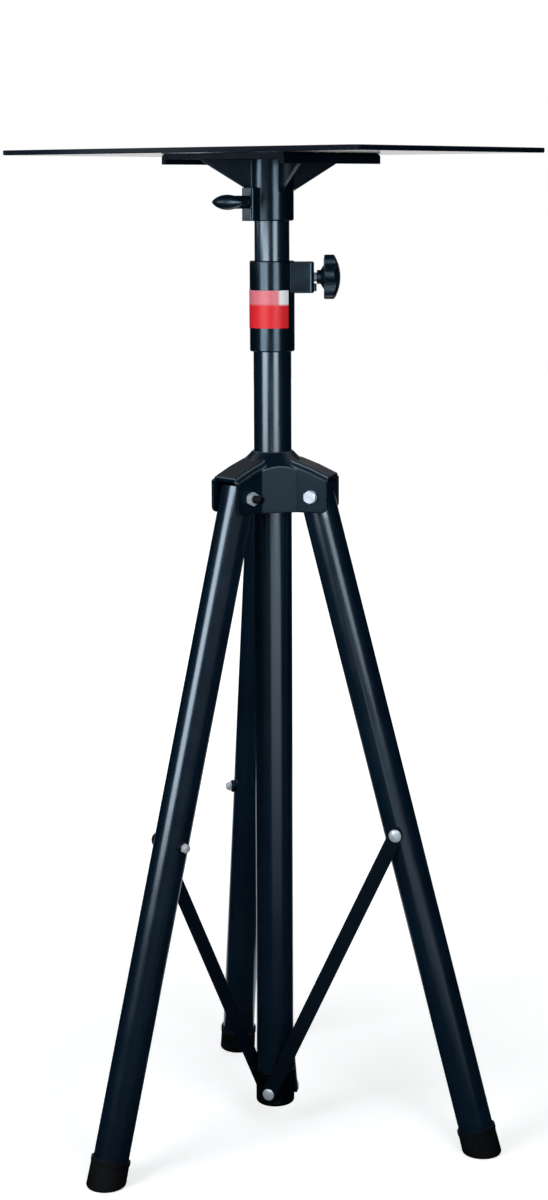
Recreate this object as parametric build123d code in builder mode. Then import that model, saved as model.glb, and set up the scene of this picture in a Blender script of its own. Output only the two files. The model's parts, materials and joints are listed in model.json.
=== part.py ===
from build123d import *
import os
from math import atan2, cos, degrees, hypot, radians, sin, tan

os.makedirs("parts", exist_ok=True)

# Fits
slide_fit = 0.1  # radial gap where one piece slides or turns on another
seat_fit = 0.05  # radial gap where one piece is fixed on another
face_gap = 0.1  # gap between flat faces that turn on each other
edge_middle = 0.5  # share of an edge's length where its direction is read
steep_share = 0.9  # an edge counts as running along a direction above this share
fork_gap = 0.5  # gap on each side of a leg in its hub arm
pole_gap = 0.3  # radial gap between pole and column tube
screw_point = 0.9  # chamfer on the ends of screws

# Column
column_diameter = 38.0
column_wall = 1.2
column_lift = 26.5  # floor to the lowest point of the column
column_length = 856.5
column_foot_wall = 0.7
column_foot_height = 35.5
column_foot_floor = 5.0
column_foot_round = 3.0
pin_boss_diameter = 12.0
pin_boss_step = 0.1
pin_rise = 14.5  # lowest point of the column to the lower strut pins

# Sleeve and clamp on top of the column
sleeve_wall = 3.5
sleeve_length = 90.0
sleeve_lip = 9.0  # part of the sleeve above the column tube
sleeve_chamfer = 1.0
clamp_angle = -11.0
clamp_boss_reach = 41.7
clamp_boss_width = 27.0
clamp_boss_height = 31.0
clamp_boss_drop = 1.0
clamp_boss_round = 4.0
clamp_boss_edge = 1.6
clamp_tab_length = 2.6
clamp_tab_width = 9.0
clamp_tab_height = 7.5
clamp_screw_diameter = 10.0
clamp_neck_diameter = 14.0
clamp_neck_gap = 3.0
clamp_neck_length = 3.5
clamp_cone_length = 3.5
clamp_knob_diameter = 46.5
clamp_knob_thickness = 16.4  # in the middle of the domed front
clamp_rim_thickness = 9.6
clamp_knob_lobes = 6
clamp_lobe_diameter = 15.0
clamp_lobe_turn = -11.0  # first lobe, measured from the horizontal
clamp_valley_depth = 4.6
clamp_knob_round = 1.6
clamp_valley_round = 2.5
clamp_cone_diameter = 25.0

# Label round the sleeve
label_rise = 23.6
label_height = 37.5
label_thickness = 0.35
label_end_angle = -56.0
label_sweep = 165.0

# Inner pole
pole_wall = 1.2
pole_show = 39.5  # pole seen between sleeve and head socket
pole_bottom_gap = 0.4
plug_length = 24.0
plug_flange = 3.0
plug_bore = 20.0

# Head socket
socket_wall = 4.5
socket_height = 60.5
socket_bore_depth = 53.5
socket_edge = 1.2
rib_thickness = 4.0
rib_count = 4
rib_turn = 11.5
rib_start = 28.5  # socket bottom to the foot of a rib
rib_reach = 55.0  # socket wall to the tip of a rib
handle_angle = 204.0
handle_boss_reach = 31.0
handle_boss_width = 18.0
handle_boss_height = 32.5
handle_boss_round = 3.0
handle_rise = 18.5
handle_screw_diameter = 8.0
handle_neck_diameter = 13.0
handle_neck_gap = 1.5
handle_reach = 53.0
handle_length = 51.0
handle_diameter = 15.0
handle_tip_diameter = 3.0

# Bracket and tray
tray_turn = -50.0
bracket_length = 154.0
bracket_width = 154.0
bracket_sheet = 5.0
bracket_depth = 10.0
bracket_bend = 3.5
tray_length = 445.0
tray_width = 315.0
tray_thickness = 5.0
tray_corner = 10.0
tray_edge = 1.2

# Legs
leg_angles = [90.0, 210.0, 330.0]
leg_diameter = 35.0
leg_wall = 1.2
leg_length = 686.5  # hub pivot to floor along the leg
leg_tilt = 14.7
leg_head = 9.0  # tube above the hub pivot
foot_wall = 2.1
foot_height = 27.0
foot_rim = 4.0
foot_step = 0.6
foot_floor = 12.0
foot_sole_round = 3.0

# Hub
barrel_wall = 3.7
neck_wall = 6.5
neck_lip = 1.5
pivot_room = 6.2  # barrel to leg tube at the pivot height
arm_overhang = 16.8
cheek_wall = 2.5
roof_wall = 4.2
pad_inset = 4.8  # raised middle of a roof to the outside of a cheek
pad_step = 3.4  # height of the raised middle
pad_wall = 2.6
pad_round = 1.2
web_depth = 11.2
web_wall = 3.5
web_roof = 9.0
hub_rise = 43.0
hub_drop = 16.0
neck_step = 5.0
roof_start_drop = 7.0
roof_bend_drop = 13.8
roof_end_drop = 22.3
roof_bend_share = 0.5
web_rim_drop = 12.5
roof_round = 1.8
cheek_round = 6.0

# Bolts
hub_bolt_diameter = 8.0
hub_bolt_hex = 12.0
hub_hex_turn = 30.0  # corners up
hub_head_height = 5.3
hub_nut_height = 5.6
hub_bolt_tail = 11.0
strut_bolt_diameter = 6.0
strut_head_diameter = 13.0
strut_head_height = 3.4
strut_head_round = 2.8
strut_cap_diameter = 13.0  # washer under the nut
strut_cap_height = 3.4
strut_cap_round = 1.2
strut_nut_diameter = 10.0
strut_nut_height = 5.6
strut_nut_round = 3.6
strut_spacer_diameter = 11.0
pin_head_diameter = 12.0
pin_head_height = 2.2
pin_head_round = 1.8

# Struts
strut_along = 348.5  # hub pivot to strut bolt along the leg
strut_width = 15.0
strut_sheet = 2.2
strut_edge = 0.5
strut_gap = 0.3  # strut to the column foot

# Radii and heights that follow from the sizes above
column_radius = column_diameter / 2
column_bore = column_radius - column_wall
pole_radius = column_bore - pole_gap
pole_bore = pole_radius - pole_wall
leg_radius = leg_diameter / 2
sleeve_radius = column_radius + sleeve_wall
socket_radius = pole_radius + socket_wall
column_foot_radius = column_radius + column_foot_wall
tube_bottom = column_lift + column_foot_floor
tube_top = tube_bottom + column_length
sleeve_top = tube_top + sleeve_lip
sleeve_bottom = sleeve_top - sleeve_length
clamp_boss_top = sleeve_top - clamp_boss_drop
clamp_boss_bottom = clamp_boss_top - clamp_boss_height
clamp_height = clamp_boss_bottom + clamp_boss_height / 2
socket_bottom = sleeve_top + pole_show
socket_top = socket_bottom + socket_height
handle_height = socket_bottom + handle_rise
pole_top = socket_bottom + socket_bore_depth - face_gap
plug_bottom = tube_bottom + pole_bottom_gap
pole_bottom = plug_bottom + plug_flange
bracket_top = socket_top + bracket_sheet

barrel_radius = column_radius + slide_fit + barrel_wall
neck_radius = column_radius + neck_wall
pivot_radius = barrel_radius + pivot_room + leg_radius
pivot_height = leg_length * cos(radians(leg_tilt))
foot_radius = pivot_radius + leg_length * sin(radians(leg_tilt))
arm_reach = pivot_radius + arm_overhang
pocket_half = leg_radius + fork_gap
arm_half = pocket_half + cheek_wall
pad_half = arm_half - pad_inset
web_face = barrel_radius + web_depth
hub_top = pivot_height + hub_rise
hub_bottom = pivot_height - hub_drop
roof_bend_radius = neck_radius + roof_bend_share * (arm_reach - neck_radius)

strut_bolt_radius = pivot_radius + strut_along * sin(radians(leg_tilt))
strut_bolt_height = pivot_height - strut_along * cos(radians(leg_tilt))
pin_height = column_lift + pin_rise
pin_face = column_foot_radius + pin_boss_step
strut_inner = max(pin_face, leg_radius) + strut_gap
strut_outer = strut_inner + strut_sheet
strut_length = hypot(strut_bolt_radius, strut_bolt_height - pin_height)
strut_angle = degrees(atan2(strut_bolt_height - pin_height, strut_bolt_radius))


def outward(angle):
    return Vector(cos(radians(angle)), sin(radians(angle)), 0)


def clockwise(angle):
    return Vector(sin(radians(angle)), -cos(radians(angle)), 0)


def side_plane(angle, offset=0.0):
    # sketch coordinates are radius and height, the normal points clockwise seen from above
    return Plane(origin=clockwise(angle) * offset, x_dir=outward(angle), z_dir=clockwise(angle))


def facing_plane(angle, reach, height):
    # sketch looking outward from the axis, its y direction is up
    origin = outward(angle) * reach + Vector(0, 0, height)
    return Plane(origin=origin, x_dir=clockwise(angle) * -1, z_dir=outward(angle))


def turned_plane(angle, height):
    return Plane(origin=(0, 0, height), x_dir=outward(angle), z_dir=(0, 0, 1))


def leg_plane(angle):
    # origin where the leg axis meets the floor, y runs up the leg, x points away from the column
    lean = radians(leg_tilt)
    x_dir = outward(angle) * cos(lean) + Vector(0, 0, sin(lean))
    return Plane(origin=outward(angle) * foot_radius, x_dir=x_dir, z_dir=clockwise(angle))


def save(piece, name):
    piece.part.label = name
    export_step(piece.part, "parts/" + name + ".step")


# Column tube with a hole for the clamp screw
with BuildPart() as column_tube:
    with BuildSketch(Plane.XY.offset(tube_bottom)):
        Circle(column_radius)
        Circle(column_bore, mode=Mode.SUBTRACT)
    extrude(amount=column_length)
    with BuildSketch(facing_plane(clamp_angle, 0, clamp_height)):
        Circle(clamp_screw_diameter / 2 + slide_fit)
    extrude(amount=column_diameter, mode=Mode.SUBTRACT)
save(column_tube, "column_tube")

# Cap at the foot of the column with three bosses for the lower strut pins
with BuildPart() as column_foot:
    with BuildSketch(Plane.XY.offset(column_lift)):
        Circle(column_foot_radius)
    extrude(amount=column_foot_height)
    fillet(column_foot.edges().group_by(Axis.Z)[0], radius=column_foot_round)
    chamfer(column_foot.edges().group_by(Axis.Z)[-1], length=column_foot_wall / 2)
    for leg_angle in leg_angles:
        with BuildSketch(side_plane(leg_angle, column_radius + seat_fit)):
            with Locations((0, pin_height)):
                Circle(pin_boss_diameter / 2)
        extrude(amount=pin_face - column_radius - seat_fit)
    with BuildSketch(Plane.XY.offset(tube_bottom)):
        Circle(column_radius + seat_fit)
    extrude(amount=column_foot_height, mode=Mode.SUBTRACT)
save(column_foot, "column_foot")

# Sleeve with its clamp boss
with BuildPart() as column_sleeve:
    with BuildSketch(Plane.XY.offset(sleeve_bottom)):
        Circle(sleeve_radius)
    extrude(amount=sleeve_length)
    chamfer(column_sleeve.edges().group_by(Axis.Z)[0], length=sleeve_chamfer)
    chamfer(column_sleeve.edges().group_by(Axis.Z)[-1], length=sleeve_chamfer)
    with BuildSketch(turned_plane(clamp_angle, clamp_boss_bottom)) as boss_plan:
        with Locations((clamp_boss_reach / 2, 0)):
            Rectangle(clamp_boss_reach, clamp_boss_width)
        fillet(boss_plan.vertices().group_by(Axis.X)[-1], radius=clamp_boss_round)
    extrude(amount=clamp_boss_height)
    boss_rims = column_sleeve.edges().filter_by(
        lambda edge: edge.length > clamp_boss_edge
        and (edge.center() - Vector(0, 0, edge.center().Z)).length > sleeve_radius
        and abs(edge.bounding_box().size.Z) < seat_fit
    )
    fillet(boss_rims, radius=clamp_boss_edge)
    with BuildSketch(turned_plane(clamp_angle, clamp_boss_bottom + clamp_boss_edge)):
        with Locations((clamp_boss_reach, 0)):
            Rectangle(2 * clamp_tab_length, clamp_tab_width)
    extrude(amount=clamp_tab_height)
    with BuildSketch(Plane.XY.offset(sleeve_bottom)):
        Circle(column_radius + seat_fit)
    extrude(amount=sleeve_length - sleeve_lip, mode=Mode.SUBTRACT)
    with BuildSketch(Plane.XY.offset(sleeve_bottom)):
        Circle(pole_radius + slide_fit)
    extrude(amount=sleeve_length, mode=Mode.SUBTRACT)
    with BuildSketch(facing_plane(clamp_angle, 0, clamp_height)):
        Circle(clamp_screw_diameter / 2 + slide_fit)
    extrude(amount=2 * clamp_boss_reach, mode=Mode.SUBTRACT)
save(column_sleeve, "column_sleeve")

# Label bent round the sleeve
label_inner = sleeve_radius + seat_fit
label_outer = label_inner + label_thickness
with BuildPart() as label_band:
    with BuildSketch(turned_plane(label_end_angle - label_sweep, sleeve_bottom + label_rise)):
        with BuildLine():
            outer_arc = CenterArc((0, 0), label_outer, 0, label_sweep)
            inner_arc = CenterArc((0, 0), label_inner, 0, label_sweep)
            Line(outer_arc @ 0, inner_arc @ 0)
            Line(outer_arc @ 1, inner_arc @ 1)
        make_face()
    extrude(amount=label_height)
save(label_band, "label_band")

# Clamp screw
clamp_knob_start = clamp_boss_reach + clamp_neck_gap
clamp_star_start = clamp_knob_start + clamp_neck_length + clamp_cone_length
clamp_screw_end = clamp_star_start + clamp_knob_thickness / 2
with BuildPart() as clamp_screw:
    with BuildSketch(facing_plane(clamp_angle, pole_radius + face_gap, clamp_height)):
        Circle(clamp_screw_diameter / 2)
    extrude(amount=clamp_screw_end - pole_radius - face_gap)
    chamfer(clamp_screw.edges().filter_by(GeomType.CIRCLE), length=screw_point)
save(clamp_screw, "clamp_screw")

# Star knob: lobed disc with a domed front, cone and neck behind
clamp_rim_end = clamp_star_start + clamp_rim_thickness
clamp_crown_end = clamp_star_start + clamp_knob_thickness
clamp_rim_height = clamp_height + clamp_knob_diameter / 2
clamp_lobe_circle = clamp_knob_diameter / 2 - clamp_lobe_diameter / 2
with BuildPart() as clamp_knob:
    with BuildSketch(facing_plane(clamp_angle, clamp_star_start, clamp_height)) as star_plan:
        Circle(clamp_knob_diameter / 2 - clamp_valley_depth)
        with PolarLocations(clamp_lobe_circle, clamp_knob_lobes, start_angle=clamp_lobe_turn):
            Circle(clamp_lobe_diameter / 2)
        fillet(star_plan.vertices(), radius=clamp_valley_round)
    extrude(amount=clamp_knob_thickness)
    with BuildSketch(side_plane(clamp_angle)):
        with BuildLine():
            Polyline(
                (clamp_crown_end, clamp_height),
                (clamp_star_start, clamp_height),
                (clamp_star_start, clamp_rim_height),
                (clamp_rim_end, clamp_rim_height),
            )
            TangentArc((clamp_crown_end, clamp_height), (clamp_rim_end, clamp_rim_height), tangent=(0, 1))
        make_face()
    revolve(axis=Axis((0, 0, clamp_height), outward(clamp_angle)), mode=Mode.INTERSECT)
    star_rims = clamp_knob.edges().filter_by(
        lambda edge: abs(edge.tangent_at(edge_middle).dot(outward(clamp_angle))) < steep_share
    )
    fillet(star_rims, radius=clamp_knob_round)
    with BuildSketch(facing_plane(clamp_angle, clamp_knob_start + clamp_neck_length, clamp_height)):
        Circle(clamp_neck_diameter / 2)
    with BuildSketch(facing_plane(clamp_angle, clamp_star_start, clamp_height)):
        Circle(clamp_cone_diameter / 2)
    loft()
    with BuildSketch(facing_plane(clamp_angle, clamp_knob_start, clamp_height)):
        Circle(clamp_neck_diameter / 2)
    extrude(amount=clamp_neck_length)
    with BuildSketch(facing_plane(clamp_angle, 0, clamp_height)):
        Circle(clamp_screw_diameter / 2 + seat_fit)
    extrude(amount=clamp_screw_end + face_gap, mode=Mode.SUBTRACT)
save(clamp_knob, "clamp_knob")

# Inner pole
with BuildPart() as pole_tube:
    with BuildSketch(Plane.XY.offset(pole_bottom)):
        Circle(pole_radius)
        Circle(pole_bore, mode=Mode.SUBTRACT)
    extrude(amount=pole_top - pole_bottom)
save(pole_tube, "pole_tube")

# Plug in the lower end of the pole
with BuildPart() as pole_plug:
    with BuildSketch(Plane.XY.offset(plug_bottom)):
        Circle(pole_radius)
    extrude(amount=plug_flange)
    with BuildSketch(Plane.XY.offset(pole_bottom)):
        Circle(pole_bore - seat_fit)
    extrude(amount=plug_length)
    with BuildSketch(Plane.XY.offset(plug_bottom)):
        Circle(plug_bore / 2)
    extrude(amount=plug_length + plug_flange, mode=Mode.SUBTRACT)
save(pole_plug, "pole_plug")

# Head socket with ribs and the boss of the swivel handle
rib_tip = socket_radius + rib_reach
rib_root = (pole_radius + slide_fit + socket_radius) / 2
rib_slope = (socket_height - rib_start) / rib_reach
rib_foot = socket_bottom + rib_start - rib_slope * (socket_radius - rib_root)
with BuildPart() as head_socket:
    with BuildSketch(Plane.XY.offset(socket_bottom)):
        Circle(socket_radius)
    extrude(amount=socket_height)
    chamfer(head_socket.edges().group_by(Axis.Z)[0], length=socket_edge)
    with BuildSketch(turned_plane(handle_angle, socket_bottom)) as handle_boss_plan:
        with Locations((handle_boss_reach / 2, 0)):
            Rectangle(handle_boss_reach, handle_boss_width)
        fillet(handle_boss_plan.vertices().group_by(Axis.X)[-1], radius=handle_boss_round)
    extrude(amount=handle_boss_height)
    for rib in range(rib_count):
        with BuildSketch(side_plane(rib_turn + rib * 360 / rib_count)):
            with BuildLine():
                Polyline((rib_root, rib_foot), (rib_tip, socket_top), (rib_root, socket_top), close=True)
            make_face()
        extrude(amount=rib_thickness / 2, both=True)
    with BuildSketch(Plane.XY.offset(socket_bottom)):
        Circle(pole_radius + slide_fit)
    extrude(amount=socket_bore_depth, mode=Mode.SUBTRACT)
    with BuildSketch(facing_plane(handle_angle, 0, handle_height)):
        Circle(handle_screw_diameter / 2 + slide_fit)
    extrude(amount=2 * handle_boss_reach, mode=Mode.SUBTRACT)
save(head_socket, "head_socket")

# Swivel screw and its spindle handle
with BuildPart() as handle_screw:
    with BuildSketch(facing_plane(handle_angle, pole_radius + face_gap, handle_height)):
        Circle(handle_screw_diameter / 2)
    extrude(amount=handle_reach - pole_radius - face_gap)
    chamfer(handle_screw.edges().filter_by(GeomType.CIRCLE), length=screw_point)
save(handle_screw, "handle_screw")

handle_middle = facing_plane(handle_angle, handle_reach, handle_height)
handle_neck_start = handle_boss_reach + handle_neck_gap
with BuildPart() as swivel_handle:
    with BuildSketch(handle_middle):
        with BuildLine():
            ThreePointArc(
                (-handle_length / 2, handle_tip_diameter / 2),
                (0, handle_diameter / 2),
                (handle_length / 2, handle_tip_diameter / 2),
            )
            Polyline(
                (handle_length / 2, handle_tip_diameter / 2),
                (handle_length / 2, 0),
                (-handle_length / 2, 0),
                (-handle_length / 2, handle_tip_diameter / 2),
            )
        make_face()
    revolve(axis=Axis(handle_middle.origin, handle_middle.x_dir))
    with BuildSketch(facing_plane(handle_angle, handle_neck_start, handle_height)):
        Circle(handle_neck_diameter / 2)
    extrude(amount=handle_reach - handle_neck_start)
    with BuildSketch(facing_plane(handle_angle, 0, handle_height)):
        Circle(handle_screw_diameter / 2 + seat_fit)
    extrude(amount=handle_reach + face_gap, mode=Mode.SUBTRACT)
save(swivel_handle, "swivel_handle")

# Bracket: channel with its flanges turned down along two sides
with BuildPart() as tray_bracket:
    with BuildSketch(side_plane(tray_turn)) as channel:
        with Locations((0, bracket_top - bracket_depth / 2)):
            Rectangle(bracket_length, bracket_depth)
        fillet(channel.vertices().group_by(Axis.Y)[-1], radius=bracket_bend)
        with Locations((0, socket_top - bracket_depth)):
            Rectangle(bracket_length - 2 * bracket_sheet, 2 * bracket_depth, mode=Mode.SUBTRACT)
    extrude(amount=bracket_width / 2, both=True)
save(tray_bracket, "tray_bracket")

# Tray board
with BuildPart() as tray_board:
    with BuildSketch(turned_plane(tray_turn, bracket_top)):
        RectangleRounded(tray_length, tray_width, tray_corner)
    extrude(amount=tray_thickness)
    fillet(tray_board.edges().group_by(Axis.Z)[-1], radius=tray_edge)
    fillet(tray_board.edges().group_by(Axis.Z)[0], radius=tray_edge)
save(tray_board, "tray_board")

# Hub: six-sided block with a sloping top, three roofed arms, leg pockets open below and outside
cheek_corner = (web_face * cos(radians(30)) - arm_half) / sin(radians(30))
hub_corners = []
for leg_angle in leg_angles:
    middle = outward(leg_angle + 60) * web_face
    along = clockwise(leg_angle + 60) * cheek_corner
    hub_corners.append(tuple(middle + along)[:2])
    hub_corners.append(tuple(middle - along)[:2])
web_slope = (web_rim_drop - neck_step) / (web_face - neck_radius)
cone_reach = 2 * web_face
cone_drop = neck_step + web_slope * (cone_reach - neck_radius)
block_profile = [
    (0, hub_bottom),
    (cone_reach, hub_bottom),
    (cone_reach, hub_top - cone_drop),
    (neck_radius, hub_top - neck_step),
    (column_radius + slide_fit + neck_lip, hub_top),
    (0, hub_top),
]
arm_roof = [
    (arm_reach, hub_top - roof_end_drop),
    (roof_bend_radius, hub_top - roof_bend_drop),
    (neck_radius, hub_top - roof_start_drop),
    (0, hub_top - roof_start_drop),
]
arm_ledge = [(reach, height - pad_step) for reach, height in arm_roof]
roof_end_slope = (roof_end_drop - roof_bend_drop) / (arm_reach - roof_bend_radius)
pocket_end = 2 * arm_reach
pocket_end_drop = roof_bend_drop + roof_end_slope * (pocket_end - roof_bend_radius)
pocket_roof = [
    (pocket_end, hub_top - roof_wall - pocket_end_drop),
    (roof_bend_radius, hub_top - roof_wall - roof_bend_drop),
    (neck_radius, hub_top - roof_wall - roof_start_drop),
    (barrel_radius, hub_top - roof_wall - roof_start_drop),
]
pocket_sides = [(reach, height - pad_wall) for reach, height in pocket_roof]
pocket_mouth = [(barrel_radius, hub_bottom - hub_drop), (pocket_end, hub_bottom - hub_drop)]
core_apex = arm_half / cos(radians(30))
core_base = web_face - web_wall
core_half = (core_base - core_apex) * tan(radians(60))
core_height = hub_top - web_rim_drop - web_roof - hub_bottom
with BuildPart() as arm_block:
    with BuildSketch(side_plane(0)) as arm_side:
        Polygon((0, hub_bottom), (arm_reach, hub_bottom), *arm_ledge, align=None)
        fillet(arm_side.vertices().sort_by(Axis.X)[-2:].sort_by(Axis.Y)[0], radius=cheek_round)
    extrude(amount=arm_half, both=True)
    ledge_lines = arm_block.edges().filter_by(
        lambda edge: edge.center().Z > hub_top - roof_end_drop - pad_step
        and abs(edge.center().Y) > arm_half - seat_fit
    )
    fillet(ledge_lines, radius=roof_round)
    with BuildSketch(side_plane(0)):
        Polygon((0, hub_bottom + pad_step), (arm_reach, hub_bottom + pad_step), *arm_roof, align=None)
    extrude(amount=pad_half, both=True)
    pad_lines = arm_block.edges().filter_by(
        lambda edge: edge.center().Z > hub_top - roof_end_drop
        and abs(abs(edge.center().Y) - pad_half) < seat_fit
        and abs(edge.tangent_at(edge_middle).Z) < steep_share
    )
    fillet(pad_lines, radius=pad_round)
with BuildPart() as hub_body:
    with BuildSketch(Plane.XY.offset(hub_bottom)):
        Polygon(*hub_corners, align=None)
    extrude(amount=hub_top - hub_bottom)
    with BuildSketch(Plane.XZ):
        Polygon(*block_profile, align=None)
    revolve(axis=Axis.Z, mode=Mode.INTERSECT)
    for leg_angle in leg_angles:
        add(arm_block.part.rotate(Axis.Z, leg_angle))
    for leg_angle in leg_angles:
        with BuildSketch(side_plane(leg_angle)):
            Polygon(*pocket_mouth, *pocket_sides, align=None)
        extrude(amount=pocket_half, both=True, mode=Mode.SUBTRACT)
        with BuildSketch(side_plane(leg_angle)):
            Polygon(*pocket_mouth, *pocket_roof, align=None)
        extrude(amount=pad_half - pad_wall, both=True, mode=Mode.SUBTRACT)
        with BuildSketch(turned_plane(leg_angle + 60, hub_bottom)):
            Polygon((core_apex, 0), (core_base, -core_half), (core_base, core_half), align=None)
        extrude(amount=core_height, mode=Mode.SUBTRACT)
        with BuildSketch(side_plane(leg_angle)):
            with Locations((pivot_radius, pivot_height)):
                Circle(hub_bolt_diameter / 2 + seat_fit)
        extrude(amount=2 * arm_half, both=True, mode=Mode.SUBTRACT)
    with BuildSketch(Plane.XY.offset(hub_bottom)):
        Circle(column_radius + slide_fit)
    extrude(amount=hub_top - hub_bottom, mode=Mode.SUBTRACT)
save(hub_body, "hub_body")

# Legs, feet, struts and their bolts
tube_end = foot_floor
tube_length = leg_length + leg_head - tube_end
for number, leg_angle in enumerate(leg_angles, start=1):
    plane = leg_plane(leg_angle)
    up = plane.y_dir

    with BuildPart() as leg_tube:
        with BuildSketch(Plane(origin=plane.origin + up * tube_end, x_dir=plane.x_dir, z_dir=up)):
            Circle(leg_radius)
            Circle(leg_radius - leg_wall, mode=Mode.SUBTRACT)
        extrude(amount=tube_length)
        with BuildSketch(side_plane(leg_angle)):
            with Locations((pivot_radius, pivot_height)):
                Circle(hub_bolt_diameter / 2 + slide_fit)
            with Locations((strut_bolt_radius, strut_bolt_height)):
                Circle(strut_bolt_diameter / 2 + seat_fit)
        extrude(amount=leg_diameter, both=True, mode=Mode.SUBTRACT)
    save(leg_tube, "leg_tube_" + str(number))

    with BuildPart() as leg_foot:
        with BuildSketch(plane):
            with BuildLine():
                Polyline(
                    (0, tube_end),
                    (leg_radius + seat_fit, tube_end),
                    (leg_radius + seat_fit, foot_height),
                    (leg_radius + foot_wall, foot_height),
                    (leg_radius + foot_wall, foot_height - foot_rim),
                    (leg_radius + foot_wall - foot_step, foot_height - foot_rim - foot_step),
                    (leg_radius + foot_wall, -foot_floor),
                    (0, -foot_floor),
                    close=True,
                )
            make_face()
        revolve(axis=Axis(plane.origin, up))
        split(bisect_by=Plane.XY, keep=Keep.TOP)
        fillet(leg_foot.edges().group_by(Axis.Z)[0], radius=foot_sole_round)
    save(leg_foot, "leg_foot_" + str(number))

    with BuildPart() as hub_bolt:
        with BuildSketch(side_plane(leg_angle, arm_half)):
            with Locations((pivot_radius, pivot_height)):
                RegularPolygon(hub_bolt_hex / 2, 6, major_radius=False, rotation=hub_hex_turn)
        extrude(amount=hub_head_height)
        with BuildSketch(side_plane(leg_angle, -arm_half)):
            with Locations((pivot_radius, pivot_height)):
                RegularPolygon(hub_bolt_hex / 2, 6, major_radius=False, rotation=hub_hex_turn)
        extrude(amount=-hub_nut_height)
        with BuildSketch(side_plane(leg_angle, arm_half)):
            with Locations((pivot_radius, pivot_height)):
                Circle(hub_bolt_diameter / 2)
        extrude(amount=-2 * arm_half - hub_nut_height - hub_bolt_tail)
    save(hub_bolt, "hub_bolt_" + str(number))

    across = Axis((0, 0, 0), clockwise(leg_angle))
    cap_end = -leg_radius - strut_cap_height
    with BuildPart() as strut_bolt:
        with BuildSketch(side_plane(leg_angle, strut_outer + face_gap)):
            with Locations((strut_bolt_radius, strut_bolt_height)):
                Circle(strut_head_diameter / 2)
        extrude(amount=strut_head_height)
        fillet(strut_bolt.edges().sort_by(across)[-1], radius=strut_head_round)
        with BuildSketch(side_plane(leg_angle, strut_outer + face_gap)):
            with Locations((strut_bolt_radius, strut_bolt_height)):
                Circle(strut_bolt_diameter / 2)
        extrude(amount=cap_end - strut_outer - face_gap)
        with BuildSketch(side_plane(leg_angle, leg_radius)):
            with Locations((strut_bolt_radius, strut_bolt_height)):
                Circle(strut_spacer_diameter / 2)
        extrude(amount=strut_inner - face_gap - leg_radius)
        with BuildSketch(side_plane(leg_angle, -leg_radius)):
            with Locations((strut_bolt_radius, strut_bolt_height)):
                Circle(strut_cap_diameter / 2)
        extrude(amount=-strut_cap_height)
        fillet(strut_bolt.edges().group_by(across)[0].sort_by(SortBy.LENGTH)[-1], radius=strut_cap_round)
        with BuildSketch(side_plane(leg_angle, cap_end)):
            with Locations((strut_bolt_radius, strut_bolt_height)):
                Circle(strut_nut_diameter / 2)
        extrude(amount=-strut_nut_height)
        fillet(strut_bolt.edges().sort_by(across)[0], radius=strut_nut_round)
    save(strut_bolt, "strut_bolt_" + str(number))

    strut_middle = side_plane(leg_angle, strut_inner)
    with BuildPart() as strut:
        with BuildSketch(strut_middle):
            with Locations((strut_bolt_radius / 2, (strut_bolt_height + pin_height) / 2)):
                SlotCenterToCenter(strut_length, strut_width, rotation=strut_angle)
            with Locations((strut_bolt_radius, strut_bolt_height)):
                Circle(strut_bolt_diameter / 2 + slide_fit, mode=Mode.SUBTRACT)
            with Locations((0, pin_height)):
                Circle(strut_bolt_diameter / 2 + seat_fit, mode=Mode.SUBTRACT)
        extrude(amount=strut_sheet)
        fillet(strut.edges().filter_by(lambda edge: edge.length > strut_width), radius=strut_edge)
    save(strut, "strut_" + str(number))

    with BuildPart() as strut_pin:
        with BuildSketch(side_plane(leg_angle, strut_outer)):
            with Locations((0, pin_height)):
                Circle(pin_head_diameter / 2)
        extrude(amount=pin_head_height)
        fillet(strut_pin.edges().sort_by(across)[-1], radius=pin_head_round)
        with BuildSketch(side_plane(leg_angle, strut_outer)):
            with Locations((0, pin_height)):
                Circle(strut_bolt_diameter / 2)
        extrude(amount=-strut_sheet)
    save(strut_pin, "strut_pin_" + str(number))
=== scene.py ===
import bpy
import bmesh
import json
import math
from mathutils import Matrix, Vector


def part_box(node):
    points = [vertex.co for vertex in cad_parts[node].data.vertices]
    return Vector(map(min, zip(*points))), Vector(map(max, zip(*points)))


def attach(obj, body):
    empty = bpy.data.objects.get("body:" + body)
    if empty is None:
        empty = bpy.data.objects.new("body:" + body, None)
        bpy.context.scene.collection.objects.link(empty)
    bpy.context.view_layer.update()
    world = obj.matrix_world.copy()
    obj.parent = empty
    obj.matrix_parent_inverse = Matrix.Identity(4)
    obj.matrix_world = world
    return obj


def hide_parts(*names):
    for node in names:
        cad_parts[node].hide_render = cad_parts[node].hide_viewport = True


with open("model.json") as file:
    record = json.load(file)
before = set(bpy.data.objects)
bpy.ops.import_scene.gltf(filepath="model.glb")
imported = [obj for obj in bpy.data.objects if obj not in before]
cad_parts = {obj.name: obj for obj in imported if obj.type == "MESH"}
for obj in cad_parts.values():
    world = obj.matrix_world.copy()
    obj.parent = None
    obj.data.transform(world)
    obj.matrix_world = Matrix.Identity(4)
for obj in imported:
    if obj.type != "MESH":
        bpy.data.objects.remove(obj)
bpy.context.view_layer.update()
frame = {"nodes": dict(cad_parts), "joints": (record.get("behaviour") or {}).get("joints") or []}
nodes = frame["nodes"]
scene = bpy.context.scene
legAngles = [90.0, 210.0, 330.0]  # rear, left and right leg
legLean = 14.7  # degrees from upright
print("frame loaded:", len(nodes), "nodes")


# Node helpers

def addNode(tree, kind, inputs=None, **settings):
    node = tree.nodes.new(kind)
    for key, value in settings.items():
        setattr(node, key, value)
    for key, value in (inputs or {}).items():
        node.inputs[key].default_value = value
    return node


def join(tree, source, target):
    tree.links.new(source, target)


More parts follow.
